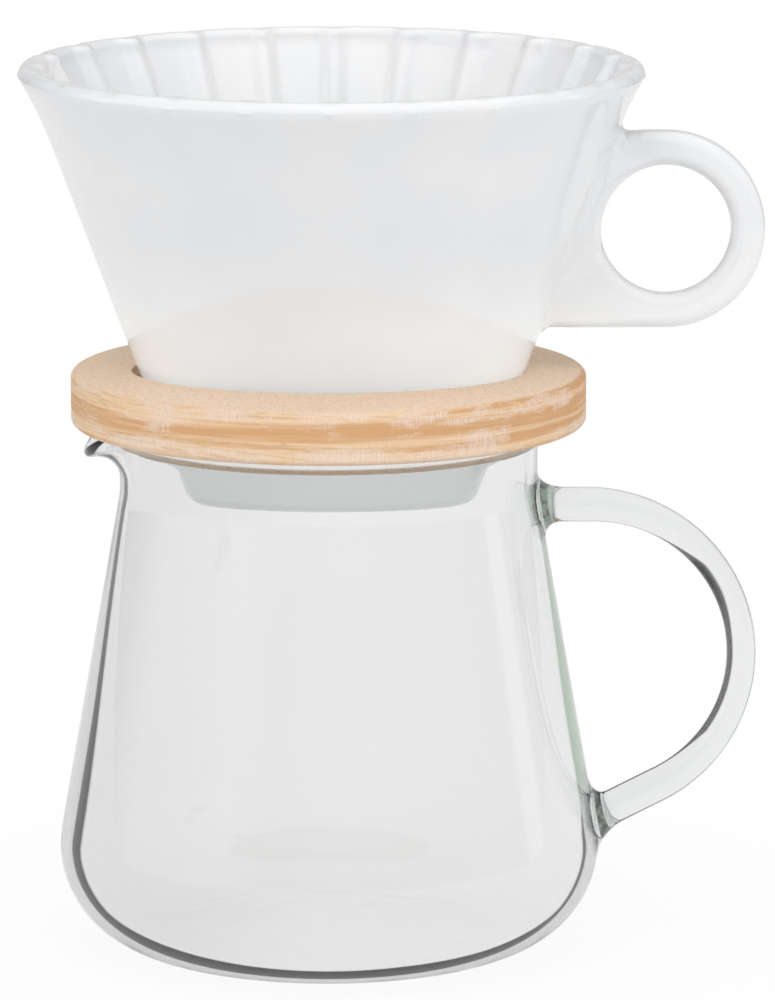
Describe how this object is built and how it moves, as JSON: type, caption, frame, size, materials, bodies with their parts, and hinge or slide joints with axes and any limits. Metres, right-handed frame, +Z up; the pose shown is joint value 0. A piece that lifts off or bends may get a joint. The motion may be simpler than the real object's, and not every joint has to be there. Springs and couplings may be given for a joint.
{
  "type": "coffee pot with dripper",
  "caption": "Pour-over coffee pot: glass server with spout and rod handle, wooden ring on its neck, and a ribbed porcelain wedge dripper with a finger-ring handle standing in the ring.",
  "frame": {"origin": "middle of the flat that the server stands on, on the server's axis", "axes": "+Z up, +X from the axis towards both handles, -X towards the spout"},
  "size_m": [0.1493, 0.125, 0.1795],
  "materials": {
    "glass": "clear fire-polished borosilicate glass",
    "beech": "turned solid beech with a matt oil finish",
    "porcelain": "white gloss glaze"
  },
  "bodies": {
    "server": {"server_body": "glass", "server_handle": "glass", "upper_handle_weld": "glass", "lower_handle_weld": "glass"},
    "ring": {"wood_ring": "beech"},
    "dripper": {"dripper_body": "porcelain", "dripper_handle": "porcelain"}
  },
  "joints": [
    {"name": "ring_lift", "type": "slide", "parent": "server", "child": "ring", "axis": [0, 0, 1], "range_m": [0, 0.06]},
    {"name": "dripper_lift", "type": "slide", "parent": "ring", "child": "dripper", "axis": [0, 0, 1], "range_m": [0, 0.06]}
  ]
}
